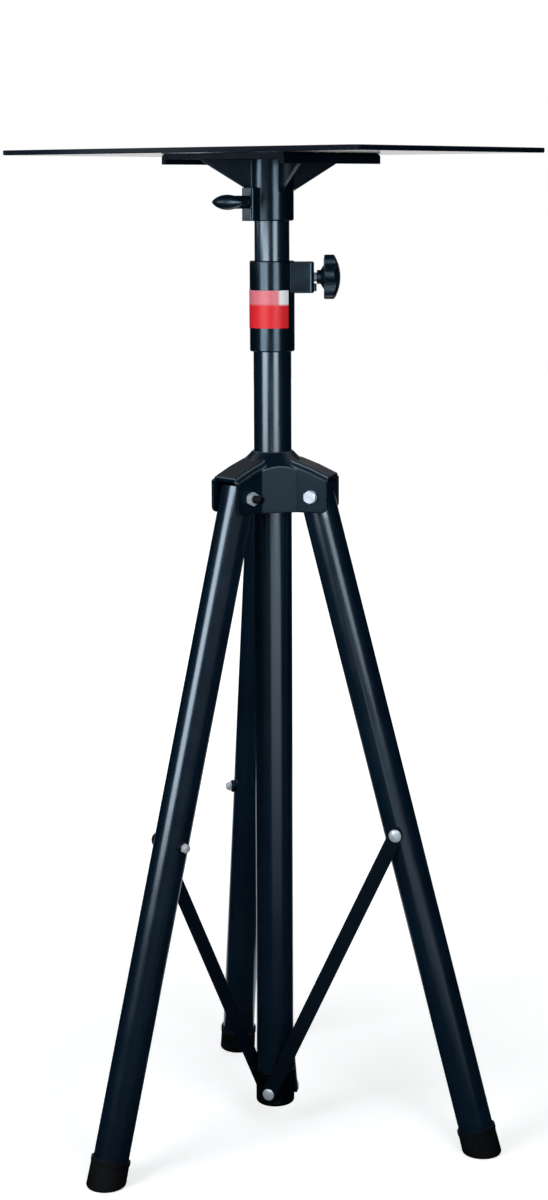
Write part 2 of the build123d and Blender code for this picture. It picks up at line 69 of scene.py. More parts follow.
def calc(tree, operation, *values):  # each value is a number or a socket
    node = addNode(tree, "ShaderNodeMath", operation=operation)
    for index, value in enumerate(values):
        if isinstance(value, (int, float)):
            node.inputs[index].default_value = value
        else:
            join(tree, value, node.inputs[index])
    return node.outputs["Value"]


def mixColour(tree, amount, under, over):  # under and over are colours or sockets
    mix = addNode(tree, "ShaderNodeMixRGB")
    join(tree, amount, mix.inputs["Fac"])
    for key, value in (("Color1", under), ("Color2", over)):
        if isinstance(value, tuple):
            mix.inputs[key].default_value = (*value, 1)
        else:
            join(tree, value, mix.inputs[key])
    return mix.outputs["Color"]


def startMaterial(name, sockets):
    material = bpy.data.materials.new(name)
    material.use_nodes = True
    tree = material.node_tree
    shader = tree.nodes["Principled BSDF"]
    for key, value in sockets.items():
        shader.inputs[key].default_value = value
    place = addNode(tree, "ShaderNodeTexCoord")
    return material, tree, shader, place.outputs["Object"]


def stretched(tree, place, scale):
    mapping = addNode(tree, "ShaderNodeMapping", {"Scale": scale})
    join(tree, place, mapping.inputs["Vector"])
    return mapping.outputs["Vector"]


def noise(tree, place, scale, detail=3.0, rough=0.5):
    grain = addNode(tree, "ShaderNodeTexNoise", {"Scale": scale, "Detail": detail, "Roughness": rough})
    join(tree, place, grain.inputs["Vector"])
    return grain.outputs["Fac"]


def spread(tree, value, low, high, fromLow=0.3, fromHigh=0.7):
    ranged = addNode(tree, "ShaderNodeMapRange", {
        "From Min": fromLow, "From Max": fromHigh, "To Min": low, "To Max": high})
    join(tree, value, ranged.inputs["Value"])
    return ranged.outputs["Result"]


def twoTone(tree, value, dark, light, low=0.35, high=0.65):
    ramp = addNode(tree, "ShaderNodeValToRGB")
    ramp.color_ramp.elements[0].position = low
    ramp.color_ramp.elements[0].color = (*dark, 1)
    ramp.color_ramp.elements[1].position = high
    ramp.color_ramp.elements[1].color = (*light, 1)
    join(tree, value, ramp.inputs["Fac"])
    return ramp.outputs["Color"]


def bump(tree, height, strength, distance, under=None):
    node = addNode(tree, "ShaderNodeBump", {"Strength": strength, "Distance": distance})
    join(tree, height, node.inputs["Height"])
    if under:
        join(tree, under, node.inputs["Normal"])
    return node.outputs["Normal"]


def roundedEdges(tree, radius):
    return addNode(tree, "ShaderNodeBevel", {"Radius": radius}, samples=6).outputs["Normal"]


# mask for a painted highlight: 1 on edges that turn upwards, 0 on flats
def upperEdges(tree, rounded, fromRise, toRise):  # 1 on edges that turn upwards, 0 on flats
    flat = addNode(tree, "ShaderNodeNewGeometry").outputs["True Normal"]
    rise = addNode(tree, "ShaderNodeVectorMath", operation="SUBTRACT")
    join(tree, rounded, rise.inputs[0])
    join(tree, flat, rise.inputs[1])
    split = addNode(tree, "ShaderNodeSeparateXYZ")
    join(tree, rise.outputs["Vector"], split.inputs["Vector"])
    return spread(tree, split.outputs["Z"], 0.0, 1.0, fromRise, toRise)


# Finishes

tubePaint = {
    "dark": (0.0006, 0.0064, 0.0150), "light": (0.0012, 0.0096, 0.0210), "cloudScale": 14.0,
    "rough": (0.19, 0.24), "wearScale": 38.0, "rubScale": (520.0, 520.0, 5.0),
    "peelScale": 620.0, "peelDepth": 0.000018,
    "shine": 1.0, "ior": 1.6, "tint": (0.72, 0.87, 1.0, 1.0),
}
barPaint = dict(tubePaint, dark=(0.0006, 0.0034, 0.0080), light=(0.0012, 0.0056, 0.0120),
                shine=0.08, rough=(0.46, 0.56))


def makeTubePaint(name, settings, rubMarks=0.0):
    material, tree, shader, place = startMaterial(name, {
        "Specular IOR Level": settings["shine"], "IOR": settings["ior"],
        "Specular Tint": settings["tint"]})
    cloud = noise(tree, place, settings["cloudScale"], detail=4.0)
    colour = twoTone(tree, cloud, settings["dark"], settings["light"])
    join(tree, colour, shader.inputs["Base Color"])
    low, high = settings["rough"]
    if rubMarks:  # lengthwise marks where tube slides in tube
        marks = noise(tree, stretched(tree, place, settings["rubScale"]), 1.0, detail=2.0)
        rough = spread(tree, marks, low, high + rubMarks, 0.35, 0.75)
    else:
        rough = spread(tree, noise(tree, place, settings["wearScale"], detail=4.0), low, high)
    join(tree, rough, shader.inputs["Roughness"])
    peel = noise(tree, place, settings["peelScale"], detail=1.5)
    join(tree, bump(tree, peel, strength=0.35, distance=settings["peelDepth"]), shader.inputs["Normal"])
    return material


mouldedPlastic = {
    "dark": (0.0008, 0.0055, 0.0120), "light": (0.0018, 0.0085, 0.0165), "cloudScale": 24.0,
    "shine": 0.36, "ior": 1.5, "tint": (0.60, 0.82, 1.0, 1.0), "edge": 0.0022,
    "rough": (0.27, 0.34), "wearScale": 60.0, "grainScale": 1500.0, "grainDepth": 0.00003,
    "flowScale": (60.0, 60.0, 18.0), "flowDepth": 0.0002,
}
sleevePlastic = dict(mouldedPlastic, dark=(0.0008, 0.0044, 0.0090), light=(0.0016, 0.0066, 0.0125),
                     rough=(0.18, 0.23), grainDepth=0.00002, shine=0.72, edge=0.0008)
knobPlastic = dict(mouldedPlastic, rough=(0.32, 0.40), grainScale=1100.0, grainDepth=0.00006,
                   shine=0.6, edge=0.001)
handlePlastic = dict(mouldedPlastic, rough=(0.26, 0.32), shine=0.8, edge=0.0005)
# painted highlight on the hub: its upward-turning edges are mixed toward a paler colour
hubPlastic = dict(mouldedPlastic, shine=0.24, highlightColour=(0.17, 0.22, 0.26), highlightRise=(0.06, 0.34))
footPlastic = dict(mouldedPlastic, dark=(0.0006, 0.0014, 0.0022), light=(0.0012, 0.0024, 0.0036),
                   shine=0.2)


def makePlastic(name, settings):
    material, tree, shader, place = startMaterial(name, {
        "Specular IOR Level": settings["shine"], "IOR": settings["ior"],
        "Specular Tint": settings["tint"]})
    rounded = roundedEdges(tree, settings["edge"])
    cloud = noise(tree, place, settings["cloudScale"], detail=5.0)
    colour = twoTone(tree, cloud, settings["dark"], settings["light"])
    # painted highlight: edges that turn upwards are mixed toward a paler colour
    if "highlightColour" in settings:
        upperEdgeHighlight = upperEdges(tree, rounded, *settings["highlightRise"])
        colour = mixColour(tree, upperEdgeHighlight, colour, settings["highlightColour"])
    join(tree, colour, shader.inputs["Base Color"])
    low, high = settings["rough"]
    wear = noise(tree, place, settings["wearScale"], detail=3.0)
    join(tree, spread(tree, wear, low, high), shader.inputs["Roughness"])
    grain = noise(tree, place, settings["grainScale"], detail=2.0, rough=0.6)
    flow = noise(tree, stretched(tree, place, settings["flowScale"]), 1.0, detail=2.0)
    soft = bump(tree, flow, strength=0.2, distance=settings["flowDepth"], under=rounded)
    fine = bump(tree, grain, strength=0.4, distance=settings["grainDepth"], under=soft)
    join(tree, fine, shader.inputs["Normal"])
    return material


footRubber = {
    "dark": (0.0010, 0.0014, 0.0020), "light": (0.0026, 0.0033, 0.0042), "rough": (0.58, 0.74),
    "shine": 0.16, "dustScale": 45.0, "skinScale": 900.0, "skinDepth": 0.00012,
}


def makeRubber(name, settings):
    material, tree, shader, place = startMaterial(name, {"Specular IOR Level": settings["shine"]})
    dust = noise(tree, place, settings["dustScale"], detail=6.0, rough=0.62)
    colour = twoTone(tree, dust, settings["dark"], settings["light"], low=0.4, high=0.75)
    join(tree, colour, shader.inputs["Base Color"])
    low, high = settings["rough"]
    join(tree, spread(tree, dust, low, high), shader.inputs["Roughness"])
    skin = noise(tree, place, settings["skinScale"], detail=3.0, rough=0.6)
    join(tree, bump(tree, skin, strength=0.5, distance=settings["skinDepth"]), shader.inputs["Normal"])
    return material


zincPlate = {
    "dark": (0.50, 0.57, 0.65), "light": (0.68, 0.74, 0.82), "rough": (0.32, 0.46), "metal": 0.45,
    "patchScale": 260.0, "wearScale": 420.0,
    "scratchScale": (2600.0, 700.0, 700.0), "scratchDepth": 0.00004,
}
# darker steel for shanks, thread tails, spacers and strut-bolt caps: painted shade where these sit in
# shadow beside heads, nuts and legs
shadedSteel = dict(zincPlate, dark=(0.012, 0.016, 0.022), light=(0.034, 0.039, 0.046),
                 rough=(0.38, 0.55), metal=1.0)


def makeMetal(name, settings):
    material, tree, shader, place = startMaterial(name, {"Metallic": settings["metal"]})
    patch = noise(tree, place, settings["patchScale"], detail=4.0)
    colour = twoTone(tree, patch, settings["dark"], settings["light"])
    join(tree, colour, shader.inputs["Base Color"])
    low, high = settings["rough"]
    wear = noise(tree, place, settings["wearScale"], detail=3.0)
    join(tree, spread(tree, wear, low, high), shader.inputs["Roughness"])
    scratch = noise(tree, stretched(tree, place, settings["scratchScale"]), 1.0, detail=2.0)
    fine = bump(tree, scratch, strength=0.25, distance=settings["scratchDepth"])
    join(tree, fine, shader.inputs["Normal"])
    return material


boardTop = {
    "dark": (0.006, 0.0085, 0.012), "light": (0.0105, 0.014, 0.0185), "cloudScale": 9.0,
    "rough": (0.36, 0.46), "wearScale": 70.0, "shine": 0.5, "tint": (0.84, 0.92, 1.0, 1.0),
    "pebble": 0.35, "pebbleScale": 780.0, "pebbleDepth": 0.00015,
}
boardUnder = dict(boardTop, rough=(0.13, 0.18), pebble=0.04)
boardEdge = dict(boardTop, dark=(0.0008, 0.0028, 0.0076), light=(0.0016, 0.0050, 0.0115),
                 rough=(0.40, 0.50), shine=0.08, pebble=0.2)


def makeBoard(name, settings):
    material, tree, shader, place = startMaterial(name, {
        "Specular IOR Level": settings["shine"], "Specular Tint": settings["tint"]})
    cloud = noise(tree, place, settings["cloudScale"], detail=6.0)
    colour = twoTone(tree, cloud, settings["dark"], settings["light"])
    join(tree, colour, shader.inputs["Base Color"])
    low, high = settings["rough"]
    wear = noise(tree, place, settings["wearScale"], detail=5.0)
    join(tree, spread(tree, wear, low, high), shader.inputs["Roughness"])
    pebble = addNode(tree, "ShaderNodeTexVoronoi", {"Scale": settings["pebbleScale"]}, feature="SMOOTH_F1")
    join(tree, place, pebble.inputs["Vector"])
    raised = bump(tree, pebble.outputs["Distance"], settings["pebble"], settings["pebbleDepth"])
    join(tree, raised, shader.inputs["Normal"])
    return material


labelFilm = {
    "red": (0.76, 0.020, 0.026), "pale": (0.74, 0.19, 0.225), "white": (0.86, 0.88, 0.88),
    "redShare": 0.62, "redBlur": 0.0012, "whiteStart": (0.0010, 0.0040),
    "shine": 0.22, "rough": (0.30, 0.42), "wearScale": 90.0, "creaseScale": 160.0, "creaseDepth": 0.0002,
}


def makeLabelFilm(name, settings):
    material, tree, shader, place = startMaterial(name, {"Specular IOR Level": settings["shine"]})
    low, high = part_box("label_band")
    axes = addNode(tree, "ShaderNodeSeparateXYZ")
    join(tree, place, axes.inputs["Vector"])
    edge = low.z + (high.z - low.z) * settings["redShare"]
    blur = settings["redBlur"]
    upper = spread(tree, axes.outputs["Z"], 0.0, 1.0, edge - blur, edge + blur)
    beside = spread(tree, axes.outputs["X"], 0.0, 1.0, *settings["whiteStart"])
    colour = mixColour(tree, upper, settings["red"], settings["pale"])
    colour = mixColour(tree, calc(tree, "MULTIPLY", upper, beside), colour, settings["white"])
    join(tree, colour, shader.inputs["Base Color"])
    wear = noise(tree, place, settings["wearScale"], detail=4.0)
    join(tree, spread(tree, wear, *settings["rough"]), shader.inputs["Roughness"])
    crease = noise(tree, place, settings["creaseScale"], detail=3.0)
    soft = bump(tree, crease, strength=0.2, distance=settings["creaseDepth"])
    join(tree, soft, shader.inputs["Normal"])
    return material


finishes = {
    "column": makeTubePaint("columnPaint", tubePaint),
    "pole": makeTubePaint("polePaint", tubePaint, rubMarks=0.05),
    "leg": makeTubePaint("legPaint", tubePaint),
    "strut": makeTubePaint("strutPaint", barPaint),
    "bracket": makeTubePaint("bracketPaint", barPaint),
    "hub": makePlastic("hubNylon", hubPlastic),
    "sleeve": makePlastic("sleeveNylon", sleevePlastic),
    "socket": makePlastic("socketNylon", sleevePlastic),
    "knob": makePlastic("knobNylon", knobPlastic),
    "handle": makePlastic("handleNylon", handlePlastic),
    "columnFoot": makePlastic("columnFootNylon", footPlastic),
    "rubber": makeRubber("footRubber", footRubber),
    "zinc": makeMetal("zincPlate", zincPlate),
    "shadedSteel": makeMetal("paintedShadeSteel", shadedSteel),
    "board": makeBoard("trayLaminate", boardTop),
    "label": makeLabelFilm("labelFilm", labelFilm),
}
nodeFinish = {
    "column_tube": "column", "pole_tube": "pole", "column_foot": "columnFoot", "column_sleeve": "sleeve",
    "label_band": "label", "pole_plug": "hub", "head_socket": "socket", "tray_bracket": "bracket",
    "tray_board": "board", "hub_body": "hub", "clamp_knob": "knob", "swivel_handle": "handle",
    "clamp_screw": "zinc", "handle_screw": "zinc",
}
for number in (1, 2, 3):
    nodeFinish.update({
        f"leg_tube_{number}": "leg", f"leg_foot_{number}": "rubber", f"strut_{number}": "strut",
        f"hub_bolt_{number}": "zinc", f"strut_bolt_{number}": "zinc", f"strut_pin_{number}": "zinc"})
for name, finish in nodeFinish.items():
    nodes[name].data.materials.clear()
    nodes[name].data.materials.append(finishes[finish])
board = nodes["tray_board"].data
board.materials.append(makeBoard("trayUnderside", boardUnder))
board.materials.append(makeBoard("trayEdge", boardEdge))
levelLimit = 0.9  # a face whose normal rises or drops more than this is top or underside
for face in board.polygons:
    up = face.normal.z
    face.material_index = 0 if up > levelLimit else 1 if up < -levelLimit else 2
print("finishes on", len(nodeFinish), "nodes")


# Fasteners, modelled along +Z and set round the column by one node tree

def ringOf(radius, height, steps=72):
    points = []
    for step in range(steps):
        turn = 2 * math.pi * step / steps
        reach = radius(turn) if callable(radius) else radius
        rise = height(turn) if callable(height) else height
        points.append((reach * math.cos(turn), reach * math.sin(turn), rise))
    return points


def addShell(builder, rings, dark=False):
    mark = builder.faces.layers.bool.get("shadedPart") or builder.faces.layers.bool.new("shadedPart")
    last = None
    for ring in rings:
        row = [builder.verts.new(point) for point in ring]
        count = max(len(row), len(last)) if last else 0
        for i in range(count):
            j = (i + 1) % count
            if len(last) == 1:
                corners = (last[0], row[j], row[i])
            elif len(row) == 1:
                corners = (last[i], last[j], row[0])
            else:
                corners = (last[i], last[j], row[j], row[i])
            builder.faces.new(corners)[mark] = dark
        last = row


hexShape = {"faceShare": 0.47, "chamfer": 30.0}  # circle left on the face, angle of the chamfer


def hexShell(acrossFlats, seat, end, bothEnds=False):
    flatRound = hexShape["faceShare"] * acrossFlats
    slope = math.tan(math.radians(hexShape["chamfer"])) * (1.0 if end > seat else -1.0)

    def outline(turn):
        fromFlat = (turn + math.pi / 6) % (math.pi / 3) - math.pi / 6  # corners point up
        return acrossFlats / 2 / math.cos(fromFlat)

    def drop(turn):
        return slope * (outline(turn) - flatRound)

    rings = [[(0, 0, seat)]]
    if bothEnds:
        rings += [ringOf(flatRound, seat), ringOf(outline, lambda turn: seat + drop(turn))]
    else:
        rings += [ringOf(outline, seat)]
    rings += [ringOf(outline, lambda turn: end - drop(turn)), ringOf(flatRound, end), [(0, 0, end)]]
    return rings


def domeShell(radius, seat, end, rim, steps=9):
    rise = end - seat
    rings = [[(0, 0, seat)], ringOf(0.97 * radius, seat), ringOf(radius, seat + rim * rise)]
    for step in range(1, steps):
        lift = math.pi / 2 * step / steps
        rings.append(ringOf(radius * math.cos(lift), seat + rise * (rim + (1 - rim) * math.sin(lift))))
    return rings + [[(0, 0, end)]]


def barrelShell(radius, low, high, edge):
    return [[(0, 0, low)], ringOf(radius - edge, low), ringOf(radius, low + edge),
            ringOf(radius, high - edge), ringOf(radius - edge, high), [(0, 0, high)]]


def threadShell(radius, pitch, low, high, perTurn=8):
    depth = 0.54 * pitch  # depth of a metric thread
    rows = max(8, round((high - low) / pitch * perTurn))
    rings = [[(0, 0, low)]]
    for row in range(rows + 1):
        rise = low + (high - low) * row / rows
        toEnd = min(rise - low, high - rise)
        crest = radius - max(0.0, depth - toEnd)  # chamfered ends

        def groove(turn):
            part = (rise / pitch - turn / (2 * math.pi)) % 1.0
            return min(crest, radius - depth * abs(2 * part - 1))

        rings.append(ringOf(groove, rise))
    return rings + [[(0, 0, high)]]


def studMesh(name, shells, sharpAngle=28.0):
    builder = bmesh.new()
    for rings, dark in shells:
        addShell(builder, rings, dark)
    bmesh.ops.recalc_face_normals(builder, faces=builder.faces)
    mesh = bpy.data.meshes.new(name)
    builder.to_mesh(mesh)
    builder.free()
    mesh.polygons.foreach_set("use_smooth", [True] * len(mesh.polygons))
    mesh.set_sharp_from_angle(angle=math.radians(sharpAngle))
    return mesh


def makeSetRound():
    tree = bpy.data.node_groups.new("setRound", "GeometryNodeTree")
    sockets = {
        "Piece": "NodeSocketGeometry", "Count": "NodeSocketInt", "Start Angle": "NodeSocketFloat",
        "Reach": "NodeSocketFloat", "Height": "NodeSocketFloat",
        "Bright Finish": "NodeSocketMaterial", "Shade Finish": "NodeSocketMaterial",
    }
    for label, kind in sockets.items():
        tree.interface.new_socket(label, in_out="INPUT", socket_type=kind)
    tree.interface.new_socket("Set", in_out="OUTPUT", socket_type="NodeSocketGeometry")
    given = addNode(tree, "NodeGroupInput").outputs
    index = addNode(tree, "GeometryNodeInputIndex").outputs["Index"]
    share = calc(tree, "DIVIDE", 2 * math.pi, given["Count"])
    turn = calc(tree, "MULTIPLY_ADD", index, share, given["Start Angle"])
    place = addNode(tree, "ShaderNodeCombineXYZ")
    for axis, operation in (("X", "COSINE"), ("Y", "SINE")):
        part = calc(tree, "MULTIPLY", calc(tree, operation, turn), given["Reach"])
        join(tree, part, place.inputs[axis])
    join(tree, given["Height"], place.inputs["Z"])
    points = addNode(tree, "GeometryNodePoints")
    join(tree, given["Count"], points.inputs["Count"])
    join(tree, place.outputs["Vector"], points.inputs["Position"])
    angles = addNode(tree, "ShaderNodeCombineXYZ", {"X": math.pi / 2})  # +Z to the clockwise side
    join(tree, turn, angles.inputs["Z"])
    copies = addNode(tree, "GeometryNodeInstanceOnPoints")
    join(tree, points.outputs[0], copies.inputs["Points"])
    join(tree, given["Piece"], copies.inputs["Instance"])
    join(tree, angles.outputs["Vector"], copies.inputs["Rotation"])
    solid = addNode(tree, "GeometryNodeRealizeInstances")
    join(tree, copies.outputs["Instances"], solid.inputs["Geometry"])
    bright = addNode(tree, "GeometryNodeSetMaterial")
    join(tree, solid.outputs["Geometry"], bright.inputs["Geometry"])
    join(tree, given["Bright Finish"], bright.inputs["Material"])
    # faces flagged dark take the darker steel, which is painted shade
    marked = addNode(tree, "GeometryNodeInputNamedAttribute", {"Name": "shadedPart"}, data_type="BOOLEAN")
    shadedSet = addNode(tree, "GeometryNodeSetMaterial")
    join(tree, bright.outputs["Geometry"], shadedSet.inputs["Geometry"])
    join(tree, marked.outputs["Attribute"], shadedSet.inputs["Selection"])
    join(tree, given["Shade Finish"], shadedSet.inputs["Material"])
    out = addNode(tree, "NodeGroupOutput")
    join(tree, shadedSet.outputs["Geometry"], out.inputs["Set"])
    return tree


setRound = makeSetRound()


def bakeSet(name, mesh, inputs):
    holder = bpy.data.objects.new(name + "Holder", mesh)
    scene.collection.objects.link(holder)
    modifier = holder.modifiers.new("setRound", "NODES")
    modifier.node_group = setRound
    for item in setRound.interface.items_tree:
        if item.in_out == "INPUT" and item.name in inputs:
            modifier[item.identifier] = inputs[item.name]
    holder.update_tag()
    bpy.context.view_layer.update()
    ready = bpy.context.evaluated_depsgraph_get()
    baked = bpy.data.meshes.new_from_object(holder.evaluated_get(ready), depsgraph=ready)
    baked.name = name
    bpy.data.objects.remove(holder)
    piece = bpy.data.objects.new(name, baked)
    scene.collection.objects.link(piece)
    return piece


def fastener(name, mesh, angle, node, body, replaced, count=1, reach=None):
    low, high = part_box(node)  # the node of the rear leg, whose bolts lie along X
    piece = bakeSet(name, mesh, {
        "Count": count, "Start Angle": math.radians(angle),
        "Reach": (low.y + high.y) / 2 if reach is None else reach, "Height": (low.z + high.z) / 2,
        "Bright Finish": finishes["zinc"], "Shade Finish": finishes["shadedSteel"]})
    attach(piece, body)
    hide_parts(*replaced)


hubBolt = {
    "headHeight": 0.0053, "nutHeight": 0.0056, "shankRadius": 0.004, "pitch": 0.00125,
    "washer": 0.0009, "washerShare": 0.55, "edge": 0.0002, "overlap": 0.0004,
}
low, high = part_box("hub_bolt_1")
flats = high.y - low.y
seat = high.x - hubBolt["headHeight"]
washerEnd = seat + hubBolt["washer"]
nutEnd = -seat - hubBolt["nutHeight"]
tailStart = nutEnd + hubBolt["overlap"]
# shells flagged True (shank and thread tail) get the darker steel as painted shade
boltMesh = studMesh("hubBoltStud", [
    (barrelShell(hubBolt["washerShare"] * flats, seat, washerEnd, hubBolt["edge"]), False),
    (hexShell(flats, washerEnd, high.x), False),
    (barrelShell(hubBolt["shankRadius"], -seat, seat, hubBolt["edge"]), True),
    (hexShell(flats, -seat, nutEnd, True), False),
    (threadShell(hubBolt["shankRadius"], hubBolt["pitch"], low.x, tailStart), True),
])
hubBoltNodes = [f"hub_bolt_{k}" for k in (1, 2, 3)]
fastener("hubBolts", boltMesh, legAngles[0], "hub_bolt_1", "hub", hubBoltNodes, count=3)

strutBolt = {
    "headHeight": 0.0034, "headRim": 0.18, "capHeight": 0.0034, "capEdge": 0.0009, "capOverlap": 0.0008,
    "legRadius": 0.0175, "shankRadius": 0.003, "shankEdge": 0.0002, "shankOverlap": 0.0005,
    "spacerRadius": 0.0055, "spacerEdge": 0.0003, "spacerOverlap": 0.0004, "spacerGap": 0.0001,
    "nutFlats": 0.0086, "nutBase": 0.0026, "domeRadius": 0.0041, "domeRim": 0.25,
}
low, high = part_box("strut_bolt_1")
headRadius = (high.y - low.y) / 2
seat = high.x - strutBolt["headHeight"]
legSide = strutBolt["legRadius"]
capEnd = -legSide - strutBolt["capHeight"]
capStart = -legSide + strutBolt["capOverlap"]
baseEnd = capEnd - strutBolt["nutBase"]
shankEnd = seat + strutBolt["shankOverlap"]
spacerStart = legSide - strutBolt["spacerOverlap"]
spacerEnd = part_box("strut_1")[0].x - strutBolt["spacerGap"]
# shells flagged True (shank, spacer and the cap next to the leg) get the darker steel as painted shade
boltMesh = studMesh("strutBoltStud", [
    (domeShell(headRadius, seat, high.x, strutBolt["headRim"]), False),
    (barrelShell(strutBolt["shankRadius"], capEnd, shankEnd, strutBolt["shankEdge"]), True),
    (barrelShell(strutBolt["spacerRadius"], spacerStart, spacerEnd, strutBolt["spacerEdge"]), True),
    (barrelShell(headRadius, capEnd, capStart, strutBolt["capEdge"]), True),
    (hexShell(strutBolt["nutFlats"], capEnd, baseEnd), False),
    (domeShell(strutBolt["domeRadius"], baseEnd, low.x, strutBolt["domeRim"]), False),
])
strutPin = {"headHeight": 0.0022, "rim": 0.12, "shankRadius": 0.003, "shankEdge": 0.0002, "overlap": 0.001}
low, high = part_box("strut_pin_1")
pinSeat = high.x - strutPin["headHeight"]
pinEnd = high.x - strutPin["overlap"]
pinMesh = studMesh("strutPinStud", [
    (domeShell((high.z - low.z) / 2, pinSeat, high.x, strutPin["rim"]), False),
    (barrelShell(strutPin["shankRadius"], low.x, pinEnd, strutPin["shankEdge"]), False),
])
for k, angle in enumerate(legAngles, start=1):
    fastener(f"strutBolt{k}", boltMesh, angle, "strut_bolt_1", f"leg_{k}", [f"strut_bolt_{k}"])
    fastener(f"strutPin{k}", pinMesh, angle, "strut_pin_1", f"strut_{k}", [f"strut_pin_{k}"], reach=0.0)

clampScrew = {"angle": -11.0, "start": 0.0176, "end": 0.0598, "radius": 0.005, "pitch": 0.0015}
low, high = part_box("clamp_screw")
thread = threadShell(clampScrew["radius"], clampScrew["pitch"], clampScrew["start"], clampScrew["end"])
screwMesh = studMesh("clampScrew", [(thread, False)])
turn = Matrix.Rotation(math.radians(clampScrew["angle"]), 4, "Z") @ Matrix.Rotation(math.pi / 2, 4, "Y")
screwMesh.transform(Matrix.Translation((0, 0, (low.z + high.z) / 2)) @ turn)
screwMesh.materials.append(finishes["zinc"])
screw = bpy.data.objects.new("clampScrew", screwMesh)
scene.collection.objects.link(screw)
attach(screw, "clamp_knob_set")
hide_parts("clamp_screw")
print("fasteners made")


# Studio

cameraView = {
    "place": (-0.4407, -2.2422, 0.9723), "turn": -11.15, "pitch": 6.79, "roll": -0.004,
    "lens": 68.66, "sensor": 36.0, "shift": -0.1193, "farthest": 50.0,
}
camera = bpy.data.cameras.new("camera")
camera.lens = cameraView["lens"]
camera.sensor_width = cameraView["sensor"]
camera.shift_y = cameraView["shift"]
camera.clip_end = cameraView["farthest"]
cameraHolder = bpy.data.objects.new("camera", camera)
cameraHolder.location = cameraView["place"]
aim = Matrix.Rotation(math.radians(cameraView["turn"]), 3, "Z")
aim = aim @ Matrix.Rotation(math.radians(90.0 - cameraView["pitch"]), 3, "X")
cameraHolder.rotation_euler = (aim @ Matrix.Rotation(cameraView["roll"], 3, "Z")).to_euler()
scene.collection.objects.link(cameraHolder)
scene.camera = cameraHolder
scene.view_settings.view_transform = "Standard"


def outward(angle):  # level direction from the column, angle counted from the camera to its right
    turn = math.radians(angle - 90.0 + cameraView["turn"])
    return Vector((math.cos(turn), math.sin(turn), 0))


def floorSpot(angle, reach, height):
    spot = outward(angle) * reach
    return spot.x, spot.y, height


lampColour = (0.93, 0.97, 1.0)
softBoxes = {
    "softBoxLeft": {
        "angle": -46.0, "reach": 1.5, "width": 0.80, "height": 1.15, "centre": 1.08, "glow": 5.6},
    "softBoxRight": {
        "angle": 21.0, "reach": 1.5, "width": 0.66, "height": 1.05, "centre": 1.06, "glow": 5.0},
    "softBoxTop": {  # overhead, looking down
        "width": 1.6, "height": 1.6, "centre": 3.0, "glow": 1.5},
}
for name, box in softBoxes.items():
    lamp = bpy.data.lights.new(name, "AREA")
    lamp.shape = "RECTANGLE"
    lamp.size, lamp.size_y = box["width"], box["height"]
    lamp.energy = box["glow"] * math.pi * box["width"] * box["height"]
    lamp.color = lampColour
    holder = bpy.data.objects.new(name, lamp)
    scene.collection.objects.link(holder)
    holder.location = (0, 0, box["centre"])
    if "angle" in box:
        holder.location = floorSpot(box["angle"], box["reach"], box["centre"])
        facing = Vector((0, 0, box["centre"])) - holder.location
        holder.rotation_euler = facing.to_track_quat("-Z", "Y").to_euler()
    holder.visible_camera = False

worldLight = {"ambient": 0.12, "ambientColour": (0.95, 0.98, 1.0, 1.0)}
world = bpy.data.worlds.new("studioWorld")
scene.world = world
world.use_nodes = True
tree = world.node_tree
tree.nodes.clear()
path = addNode(tree, "ShaderNodeLightPath").outputs
seen = calc(tree, "MAXIMUM", path["Is Camera Ray"], path["Is Glossy Ray"])
seen = calc(tree, "MAXIMUM", seen, path["Is Transmission Ray"])
dim = addNode(tree, "ShaderNodeBackground", {
    "Color": worldLight["ambientColour"], "Strength": worldLight["ambient"]})
white = addNode(tree, "ShaderNodeBackground", {"Color": (1.0, 1.0, 1.0, 1.0), "Strength": 1.0})
mix = addNode(tree, "ShaderNodeMixShader")
join(tree, seen, mix.inputs["Fac"])
join(tree, dim.outputs["Background"], mix.inputs[1])
join(tree, white.outputs["Background"], mix.inputs[2])
out = addNode(tree, "ShaderNodeOutputWorld")
join(tree, mix.outputs["Shader"], out.inputs["Surface"])


def stageSheet(name, corners, faces, material):
    mesh = bpy.data.meshes.new(name)
    mesh.from_pydata(corners, [], faces)
    mesh.materials.append(material)
    sheet = bpy.data.objects.new(name, mesh)
    scene.collection.objects.link(sheet)
    return sheet


def flatSheet(name, corners, material):
    return stageSheet(name, corners, [list(range(len(corners)))], material)


def fromColumn(tree, place):
    away = addNode(tree, "ShaderNodeVectorMath", operation="LENGTH")
    join(tree, place, away.inputs[0])
    return away.outputs["Value"]


floorLook = {
    "half": 9, "colour": (0.80, 0.80, 0.80, 1.0), "rough": 0.9, "shine": 0.1, "mirroredLift": 0.92,
    "nearLift": 0.64, "farLift": 1.0, "nearReach": 0.30, "farReach": 1.5,  # lower where the shadow shows
}
floorPaint, tree, shader, place = startMaterial("floorPaint", {
    "Base Color": floorLook["colour"], "Roughness": floorLook["rough"],
    "Specular IOR Level": floorLook["shine"], "Emission Color": (1.0, 1.0, 1.0, 1.0)})
path = addNode(tree, "ShaderNodeLightPath").outputs
mirrored = calc(tree, "MAXIMUM", path["Is Glossy Ray"], path["Is Transmission Ray"])
plainLift = spread(tree, fromColumn(tree, place), floorLook["nearLift"], floorLook["farLift"],
                   floorLook["nearReach"], floorLook["farReach"])
lift = calc(tree, "MULTIPLY", mirrored, floorLook["mirroredLift"])
lift = calc(tree, "MULTIPLY_ADD", path["Is Camera Ray"], plainLift, lift)
join(tree, lift, shader.inputs["Emission Strength"])
half = floorLook["half"]
flatSheet("floor", [(-half, -half, 0), (half, -half, 0), (half, half, 0), (-half, half, 0)], floorPaint)


# Sheets round the stand that only mirrored light meets

